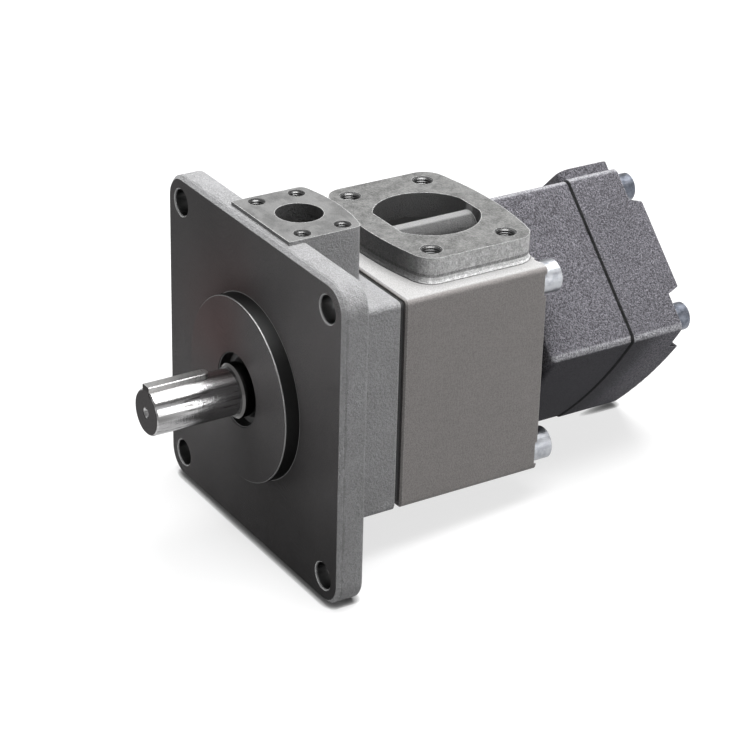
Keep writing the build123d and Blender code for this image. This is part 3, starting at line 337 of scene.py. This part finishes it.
def centreFinish():
    look = {
        "milled": (0.165, 0.155, 0.15),
        "topPaintedLightAndTint": (0.25, 0.248, 0.246),
        "pad": (0.095, 0.095, 0.093),
        "cast": (0.62, 0.62, 0.62),
        "castDark": (0.3, 0.3, 0.3),
        "groove": (0.012, 0.012, 0.012),
        "inside": (0.075, 0.075, 0.075),
        "rib": (0.1, 0.1, 0.1),
        "edgeWearAndPaintedLight": (0.85, 0.85, 0.85),
        "tapped": (0.035, 0.035, 0.035),
        "specular": 0.35,
        "roughness": 0.52,
        "grainScale": 1000,
        "coarseScale": 330,
        "blotchScale": 30,
        "sweepScale": 420,
        "stainScale": 90,
        "padGrainScale": 520,
        "padSkinScale": 420,
        "frontWallPaintedShadeStrength": 0.9,
        "creaseShade": 0.45,
        "flareLight": 0.3,
        "wearAndPaintedGlint": 0.3,
        "wallWearAndPaintedGlint": 0.25,
        "wearAndPaintedGlintReach": 0.0013,
        "footRound": 4,
        "bump": 0.0007,
    }
    form = {
        "padTop": (0.1146, 0.0001),
        "groove": (0.0847, 0.0001),
        "topPaintedLightAndTint": (0.092, 0.0005),
        "wall": (0.0933, 0.0002),
        "portY": 0.1613,
        "port": (0.043625, 0.000075),
        "portTop": (0.1144, 0.0002),
        "rib": (0.0135, 0.0003),
        "ribFoot": (0.096, 0.002),
        "ribCrest": (0.0045, 0.0015),
        "ribDepth": (0.0985, 0.0065),
        "tapAcross": 0.06035,
        "tapAlong": 0.03495,
        "tap": (0.009, 0.0001),
        "tapFloor": (0.0825, 0.0025),
        "frontWallPaintedShade": (0.111, 0.007),
        "crease": (0.0995, 0.0012),
        "flare": (0.09815, 0.00065),
        "foot": (0.09635, 0.00315),
    }
    finish = Finish("centreCasting", specular=look["specular"])
    grain = finish.speckle(look["grainScale"])
    coarse = finish.speckle(look["coarseScale"])
    blotch = finish.noise(look["blotchScale"], 4, 0.55)
    sweep = finish.noise(look["sweepScale"], 3, 0.5, (1, 0.12, 1))
    padTop = finish.above(finish.z, *form["padTop"])
    groove = finish.below(finish.y, *form["groove"])
    raised = finish.above(finish.z, *form["wall"])
    wall = raised * (1 - padTop)
    fromPort = finish.away(finish.x, finish.y, 0, form["portY"])
    inPort = finish.below(fromPort, *form["port"]) * finish.below(finish.z, *form["portTop"])
    rib = inPort * finish.below(abs(finish.x), *form["rib"]) * finish.above(finish.z, *form["ribFoot"])
    ribCrest = rib * finish.below(abs(finish.x), *form["ribCrest"])
    ribDepth = finish.above(finish.z, *form["ribDepth"])
    fromTap = finish.away(abs(finish.x), abs(finish.y - form["portY"]), form["tapAcross"], form["tapAlong"])
    tapped = finish.below(fromTap, *form["tap"]) * finish.above(finish.z, *form["tapFloor"])
    # partly painted light: the block's top is lighter than its sides, and less warm
    topPaintedLightAndTint = finish.above(finish.z, *form["topPaintedLightAndTint"])
    milled = finish.mix(topPaintedLightAndTint, look["milled"], look["topPaintedLightAndTint"])
    milled = finish.tone(milled, 0.74 + grain * 0.3 + sweep * 0.12 + blotch * 0.14)
    stain = finish.above(finish.noise(look["stainScale"], 5, 0.7), 0.49, 0.13)
    padGrain = finish.speckle(look["padGrainScale"], 0.1)
    pad = finish.tone(look["pad"], 0.4 + padGrain * 0.42 + stain * 0.5 + grain * 0.2)
    cast = finish.mix(coarse * 0.5 + blotch * 0.5, look["castDark"], look["cast"])
    # painted shade: the pad's wall that faces forward is painted darker
    frontWallPaintedShade = finish.below(finish.y, *form["frontWallPaintedShade"]) * look["frontWallPaintedShadeStrength"]
    # painted shade in the crease where the wall flares out to its foot, and painted light on the foot
    crease = finish.band(finish.z, *form["crease"]) * look["creaseShade"]
    flare = finish.below(finish.z, *form["flare"]) * look["flareLight"]
    cast = finish.tone(cast, (0.8 + grain * 0.4 - crease + flare) * (1 - frontWallPaintedShade))
    # painted shade: the port's inside is dark
    inside = finish.tone(look["inside"], 0.8 + blotch * 0.5)
    # painted highlight along the rib's crest, and painted shade on the rib further down in the port
    ribTone = (0.6 + grain * 0.3 + ribCrest * 1.6) * (0.3 + ribDepth * 0.7)
    # partly edge wear, partly painted glint: the casting's corners are lighter
    wornAndPaintedGlint = finish.edges(look["wearAndPaintedGlintReach"]) * (0.3 + grain * 0.7) * (1 - groove)
    wornAndPaintedGlint = wornAndPaintedGlint * (look["wearAndPaintedGlint"] + raised * look["wallWearAndPaintedGlint"])
    colour = finish.mix(raised, milled, cast)
    colour = finish.mix(padTop, colour, pad)
    # painted shade: the tapped holes' walls are dark
    colour = finish.mix(tapped, colour, look["tapped"])
    colour = finish.mix(inPort, colour, inside)
    colour = finish.mix(rib, colour, finish.tone(look["rib"], ribTone))
    colour = finish.mix(groove, colour, look["groove"])
    colour = finish.mix(wornAndPaintedGlint, colour, look["edgeWearAndPaintedLight"])
    # the wall flows out into a round at its foot
    foot = finish.below(finish.z, *form["foot"]) * wall * (1 - inPort)
    skin = grain * (0.2 + wall * 0.4) + coarse * wall * 0.6 * (1 - inPort)
    height = skin + finish.speckle(look["padSkinScale"]) * padTop * 0.4 + foot * look["footRound"]
    metal = finish.either(padTop * 0.25, rib * 0.5, inPort * 0.4)
    rough = look["roughness"] - inPort * 0.1
    return finish.end(colour, rough, finish.bump(height, look["bump"]), metal)


def rearFinish():
    look = {
        "sand": (0.03, 0.028, 0.034),
        "sandPale": (0.212, 0.207, 0.231),
        "paintedBellyShade": (0.012, 0.0115, 0.015),
        "wornAndPaintedGlint": (0.62, 0.62, 0.65),
        "seam": (0.008, 0.008, 0.009),
        "machined": (0.16, 0.16, 0.16),
        "specular": 0.26,
        "roughness": 0.46,
        "bellyRoughness": 0.4,
        "grainScale": 900,
        "coarseScale": 480,
        "blotchScale": 24,
        "brokenScale": 700,
        "wearAndPaintedGlint": 0.75,
        "wearAndPaintedGlintReach": 0.0013,
        "bump": 0.001,
    }
    form = {
        # the body's long edges, across it and up towards its port
        "corners": ((0.0745, -0.0605), (0.0745, 0.084), (-0.0745, 0.084), (-0.0745, -0.074)),
        "edge": (0.0028, 0.0012),
        "seam": (0.3037, 0.0012),
        "seamSides": (0.3037, 0.004),
        "belly": (-0.061, 0.003),
        "bellyBack": (0.3275, 0.0175),
        "portTop": (0.0982, 0.0001),
    }
    finish = Finish("rearCasting", specular=look["specular"])
    # the rear pump's own axes, turned 45 degrees
    across = (finish.x + finish.z) * halfRoot
    up = (finish.z - finish.x) * halfRoot
    grain = finish.speckle(look["grainScale"], 0.09)
    coarse = finish.speckle(look["coarseScale"], 0.1)
    blotch = finish.noise(look["blotchScale"], 4, 0.55)
    broken = finish.speckle(look["brokenScale"], 0.12)
    # partly wear, partly painted highlight: a light broken band along the body's rounded long edges, and light
    # on its sharper corners
    fromCorners = [finish.away(across, up, *corner) for corner in form["corners"]]
    longEdges = finish.either(*[finish.below(fromCorner, *form["edge"]) for fromCorner in fromCorners])
    sharp = finish.edges(look["wearAndPaintedGlintReach"]) * (0.2 + grain * 0.5)
    sharp = sharp * (1 - finish.band(finish.y, *form["seamSides"]))
    wornAndPaintedGlint = finish.either(longEdges * (0.2 + broken * 0.75), sharp)
    sand = finish.mix(grain * 0.65 + coarse * 0.35, look["sand"], look["sandPale"])
    sand = finish.tone(sand, 0.78 + blotch * 0.4)
    # painted shade: the belly, underneath, is smoother and painted darker, less so towards the cover's back
    belly = finish.below(up, *form["belly"])
    bellyBack = finish.above(finish.y, *form["bellyBack"])
    sand = finish.mix(belly * (0.9 - bellyBack * 0.7), sand, look["paintedBellyShade"])
    seam = finish.band(finish.y, *form["seam"])
    portTop = finish.above(up, *form["portTop"])
    colour = finish.mix(wornAndPaintedGlint * look["wearAndPaintedGlint"], sand, look["wornAndPaintedGlint"])
    colour = finish.mix(seam, colour, look["seam"])
    colour = finish.mix(portTop, colour, finish.tone(look["machined"], 0.7 + coarse * 0.5))
    height = (grain * 0.8 + coarse * 0.6) * (1 - belly * 0.8) * (1 - portTop)
    rough = look["roughness"] + belly * look["bellyRoughness"]
    return finish.end(colour, rough, finish.bump(height, look["bump"]))


def shaftFinish():
    look = {
        "ground": (0.42, 0.416, 0.42),
        "film": (0.1, 0.098, 0.096),
        "end": (0.018, 0.0165, 0.0167),
        "centre": (0.6, 0.6, 0.6),
        "key": (0.4, 0.395, 0.39),
        "keyEdge": (0.85, 0.85, 0.85),
        "collar": (0.1, 0.098, 0.097),
        "root": (0.035, 0.035, 0.035),
        "roughness": 0.14,
        "fineScale": 1300,
        "drawnScale": 135,
        "scratchScale": 900,
        "stainScale": 420,
        "endScale": 700,
        "drawnFilm": 0.8,
        "scratchFilm": 0.4,
        "stainFilm": 0.85,
        "centreLight": 0.5,
        "keyWearAndPaintedGlint": 0.8,
        "keyWearAndPaintedGlintReach": 0.0008,
        "bump": 0.00005,
    }
    form = {
        "end": (-0.0922, 0.0003),
        "drill": (0.0028, 0.0001),
        "drillRim": (0.0024, 0.0003),
        "key": (0.019325, 0.000075),
        "keyBack": (-0.01975, 0.00025),
        "collar": (-0.019, 0.0002),
        "root": (0.01915, 0.00005),
        "rootLength": (-0.019, 0.0002),
    }
    finish = Finish("groundShaft", metallic=1.0)
    radius = finish.radius()
    fine = finish.noise(look["fineScale"], 2, 0.5, (0.1, 1, 0.1))
    # oil and rust preventer, drawn out along the shaft
    drawn = finish.above(finish.noise(look["drawnScale"], 3, 0.6, (1, 0.035, 1)), 0.52, 0.08)
    scratches = finish.above(finish.noise(look["scratchScale"], 3, 0.6, (1, 0.05, 1)), 0.64, 0.04)
    stain = finish.above(finish.noise(look["stainScale"], 4, 0.6, (1, 0.12, 1)), 0.62, 0.02)
    film = finish.either(drawn * look["drawnFilm"], scratches * look["scratchFilm"], stain * look["stainFilm"])
    endFace = finish.either(finish.below(finish.y, *form["end"]), finish.below(radius, *form["drill"]))
    # painted highlight: a light ring at the centre drill's rim
    drill = finish.band(radius, *form["drillRim"]) * endFace * look["centreLight"]
    collar = finish.above(finish.y, *form["collar"])
    root = finish.above(radius, *form["root"]) * finish.band(finish.y, *form["rootLength"])
    key = finish.above(radius, *form["key"]) * finish.below(finish.y, *form["keyBack"])
    endTone = finish.tone(look["end"], 0.8 + finish.speckle(look["endScale"]) * 0.3)
    # partly wear, partly painted glint: the key's edges are lighter
    keyWornAndPaintedGlint = finish.edges(look["keyWearAndPaintedGlintReach"]) * look["keyWearAndPaintedGlint"]
    keyTone = finish.mix(keyWornAndPaintedGlint, finish.tone(look["key"], 0.7 + fine * 0.6), look["keyEdge"])
    colour = finish.mix(film, look["ground"], look["film"])
    # painted shade: the shaft behind its step, in the seal recess, is darker, and the step's face darkest
    colour = finish.mix(collar, colour, look["collar"])
    colour = finish.mix(root, colour, look["root"])
    colour = finish.mix(endFace, colour, endTone)
    colour = finish.mix(drill, colour, look["centre"])
    colour = finish.mix(key * (1 - endFace), colour, keyTone)
    rough = look["roughness"] + fine * 0.04 + endFace * 0.4 + scratches * 0.08 + key * 0.12
    return finish.end(colour, rough, finish.bump(fine * (1 - endFace), look["bump"]))


def screwFinish():
    look = {
        "zinc": (0.18, 0.193, 0.225),
        "dull": (0.075, 0.082, 0.1),
        "frontScrewsPaintedLight": (0.42, 0.43, 0.45),
        "roughness": 0.28,
        "patchScale": 170,
        "fineScale": 1100,
        "bump": 0.00005,
    }
    # painted light: the body's screws, in front of this, are painted brighter than the cover's
    form = {"front": (0.295, 0.005)}
    finish = Finish("zincScrews", metallic=1.0)
    patches = finish.above(finish.noise(look["patchScale"], 3, 0.5), 0.5, 0.15)
    fine = finish.speckle(look["fineScale"])
    frontScrewsPaintedLight = finish.below(finish.y, *form["front"]) * (0.55 + patches * 0.3)
    colour = finish.mix(patches * 0.6 + fine * 0.3, look["dull"], look["zinc"])
    colour = finish.mix(frontScrewsPaintedLight, colour, look["frontScrewsPaintedLight"])
    return finish.end(colour, look["roughness"] + patches * 0.08, finish.bump(fine, look["bump"]))


def rubberFinish():
    look = {
        "rubber": (0.02, 0.02, 0.02),
        "roughness": 0.5,
        "skinScale": 500,
        "bump": 0.0001,
        "bumpStrength": 0.4,
    }
    finish = Finish("sealRubber")
    skin = finish.noise(look["skinScale"])
    colour = finish.tone(look["rubber"], 0.8 + skin * 0.4)
    return finish.end(colour, look["roughness"], finish.bump(skin, look["bump"], look["bumpStrength"]))


def steelFinish(name, colour, roughness):
    look = {"streakScale": 600, "streak": 0.1, "roughnessRange": 0.1}
    finish = Finish(name, metallic=1.0)
    lines = finish.noise(look["streakScale"], 3, 0.6)
    colour = finish.tone(colour, 1 - look["streak"] / 2 + lines * look["streak"])
    return finish.end(colour, roughness - look["roughnessRange"] / 2 + lines * look["roughnessRange"])


finishes = {
    "front_casting": frontFinish(),
    "centre_casting": centreFinish(),
    "rear_casting": rearFinish(),
    "shaft_steel": shaftFinish(),
    "zinc_screws": screwFinish(),
    "seal_rubber": rubberFinish(),
    "bearing_steel": steelFinish("bearingSteel", (0.62, 0.62, 0.64), 0.15),
    "cage_brass": steelFinish("cageBrass", (0.72, 0.52, 0.25), 0.3),
    "spring_steel": steelFinish("springSteel", (0.16, 0.16, 0.18), 0.35),
    "plate_bronze": steelFinish("plateBronze", (0.58, 0.42, 0.24), 0.3),
    "cartridge_steel": steelFinish("cartridgeSteel", (0.5, 0.5, 0.52), 0.25),
    "dark_screws": steelFinish("darkScrews", (0.09, 0.09, 0.1), 0.4),
    "cut_thread": steelFinish("cutThread", (0.07, 0.07, 0.07), 0.3),
}
for entry in frame["record"]["subparts"]:
    mesh = nodes[entry["node"]].data
    mesh.materials.clear()
    mesh.materials.append(finishes[entry["material_slot"]])
print("finishes made:", len(finishes))

# across and along are the distances between a pad's holes, and y is their middle
deliveryThreads = {
    "across": 69.9,
    "along": 35.7,
    "y": 42.8,
    "top": 139.8,
    "radius": 6.0,
    "pitch": 1.75,
    "depth": 20.0,
    "slot": "front_casting",
}
suctionThreads = {
    "across": 120.7,
    "along": 69.9,
    "y": 161.3,
    "top": 114.8,
    "radius": 8.0,
    "pitch": 2.0,
    "depth": 24.0,
    "slot": "centre_casting",
}
# the first crest's depth, the bite into the wall, the cut share of a full thread, and merge in metres
threadCut = {"start": 1.2, "bite": 0.02, "share": 0.6, "sides": 28, "merge": 0.00001}


def tapHoles(name, size):
    # the thread crests inside four tapped holes, as one piece
    form = bmesh.new()
    height = math.sqrt(3) / 2 * size["pitch"] * threadCut["share"]
    for sideAcross in (-0.5, 0.5):
        for sideAlong in (-0.5, 0.5):
            x = size["across"] * sideAcross
            y = size["y"] + size["along"] * sideAlong
            centre = Vector((x, y, size["top"] - threadCut["start"]))
            level = 0.0
            rim = []
            while level < size["depth"]:
                rim.append(Vector((size["radius"] + threadCut["bite"], 0, -level)))
                rim.append(Vector((size["radius"] - height, 0, -level - size["pitch"] / 2)))
                level += size["pitch"]
            corners = [form.verts.new((place + centre) * mm) for place in rim]
            sides = [form.edges.new(pair) for pair in zip(corners, corners[1:])]
            bmesh.ops.spin(form, geom=corners + sides, cent=centre * mm, axis=(0, 0, 1), angle=math.tau,
                           steps=threadCut["sides"], use_merge=True)
    bmesh.ops.remove_doubles(form, verts=form.verts, dist=threadCut["merge"])
    bmesh.ops.recalc_face_normals(form, faces=form.faces)
    bmesh.ops.reverse_faces(form, faces=form.faces)
    mesh = bpy.data.meshes.new(name)
    form.to_mesh(mesh)
    form.free()
    mesh.materials.append(finishes["cut_thread"])
    piece = bpy.data.objects.new(name, mesh)
    bpy.context.scene.collection.objects.link(piece)
    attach(piece, "housing")


tapHoles("delivery_threads", deliveryThreads)
tapHoles("suction_threads", suctionThreads)
print("threads cut")

# the camera stands where the photograph was taken, and sees 20 metres far
camera = {
    "lens": 119.1,
    "sensor": 36,
    "place": (1519.43, -857.11, 896.81),
    "right": (0.52872, 0.84845, 0.02462),
    "up": (-0.39583, 0.22079, 0.89139),
    "back": (0.75085, -0.48103, 0.45257),
    "farthest": 20,
}
eye = bpy.data.objects.new("eye", bpy.data.cameras.new("eye"))
eye.data.sensor_width = camera["sensor"]
eye.data.lens = camera["lens"]
turn = Matrix((camera["right"], camera["up"], camera["back"])).transposed().to_4x4()
eye.matrix_world = Matrix.Translation(Vector(camera["place"]) * mm) @ turn
eye.data.clip_end = camera["farthest"]
bpy.context.scene.collection.objects.link(eye)
bpy.context.scene.camera = eye
bpy.context.scene.view_settings.view_transform = "Standard"

lamps = {
    "top": {"place": (0.05, 0.3, 1.6), "aim": (0, 0.15, 0), "size": (1.3, 1.3), "power": 86},
    "right": {"place": (1.8, 0.7, 0.3), "aim": (0, 0.15, 0), "size": (0.7, 1.2), "power": 13.5},
    "front": {"place": (-0.25, -1.85, 0.05), "aim": (0, 0, 0), "size": (0.4, 0.4), "power": 32},
}
for name, lamp in lamps.items():
    light = bpy.data.lights.new(name, "AREA")
    light.shape = "RECTANGLE"
    light.size, light.size_y = lamp["size"]
    light.energy = lamp["power"]
    holder = bpy.data.objects.new(name, light)
    holder.location = lamp["place"]
    away = Vector(lamp["place"]) - Vector(lamp["aim"])
    holder.rotation_euler = away.to_track_quat("Z", "Y").to_euler()
    bpy.context.scene.collection.objects.link(holder)

# white to the camera, nearly so in gloss, and a plain soft light on the pump
air = {"colour": (1, 1, 1), "light": 0.16, "gloss": 0.8, "white": 1.0}
room = bpy.data.worlds.new("room")
bpy.context.scene.world = room
sky = Tree(room)
strength = air["light"] + sky.seen() * (air["gloss"] - air["light"])
strength = strength + sky.ray("Camera") * (air["white"] - air["gloss"])
backdrop = sky.node("Background", {}, {"Color": air["colour"], "Strength": strength})
sky.node("OutputWorld", {}, {"Surface": backdrop})

# the floor touches the flange's lower edge and the rear cover's belly, each given as y and z
floor = {
    "front": (23.0, -136.6),
    "rear": (360.0, -109.3),
    "half": 6.0,
    "paper": (0.22, 0.22, 0.22),
    "glow": 0.7,
    "lift": 0.12,
    "farthest": 2.5,
    "contact": 0.006,
    "contactPower": 4.0,
}
slope = math.atan2(floor["rear"][1] - floor["front"][1], floor["rear"][0] - floor["front"][0])
sheet = bmesh.new()
bmesh.ops.create_grid(sheet, x_segments=1, y_segments=1, size=floor["half"])
bmesh.ops.rotate(sheet, verts=sheet.verts, cent=(0, 0, 0), matrix=Matrix.Rotation(slope, 3, "X"))
bmesh.ops.translate(sheet, verts=sheet.verts, vec=(0, floor["front"][0] * mm, floor["front"][1] * mm))
sheetMesh = bpy.data.meshes.new("floor")
sheet.to_mesh(sheetMesh)
sheet.free()
ground = bpy.data.objects.new("floor", sheetMesh)
bpy.context.scene.collection.objects.link(ground)
paper = bpy.data.materials.new("paper")
page = Tree(paper)
# painted contact shadow: the paper's glow is dimmed by ambient occlusion where the pump touches it
contact = page.node("AmbientOcclusion", {"samples": 12}, {"Distance": floor["contact"]}, "AO")
contact = contact.maths("POWER", floor["contactPower"])
matt = page.node("BsdfDiffuse", {}, {"Color": floor["paper"]})
# far from the lamps it glows a little more, so that it stays white there too
place = page.node("TexCoord", output="Object")
far = page.node("VectorMath", {"operation": "LENGTH"}, {0: place}, "Value").maths("MINIMUM", floor["farthest"])
strength = page.seen() * contact * (far * floor["lift"] + floor["glow"])
glow = page.node("Emission", {}, {"Strength": strength})
both = page.node("AddShader", {}, {0: matt, 1: glow})
page.node("OutputMaterial", {}, {"Surface": both})
sheetMesh.materials.append(paper)
print("stage set")
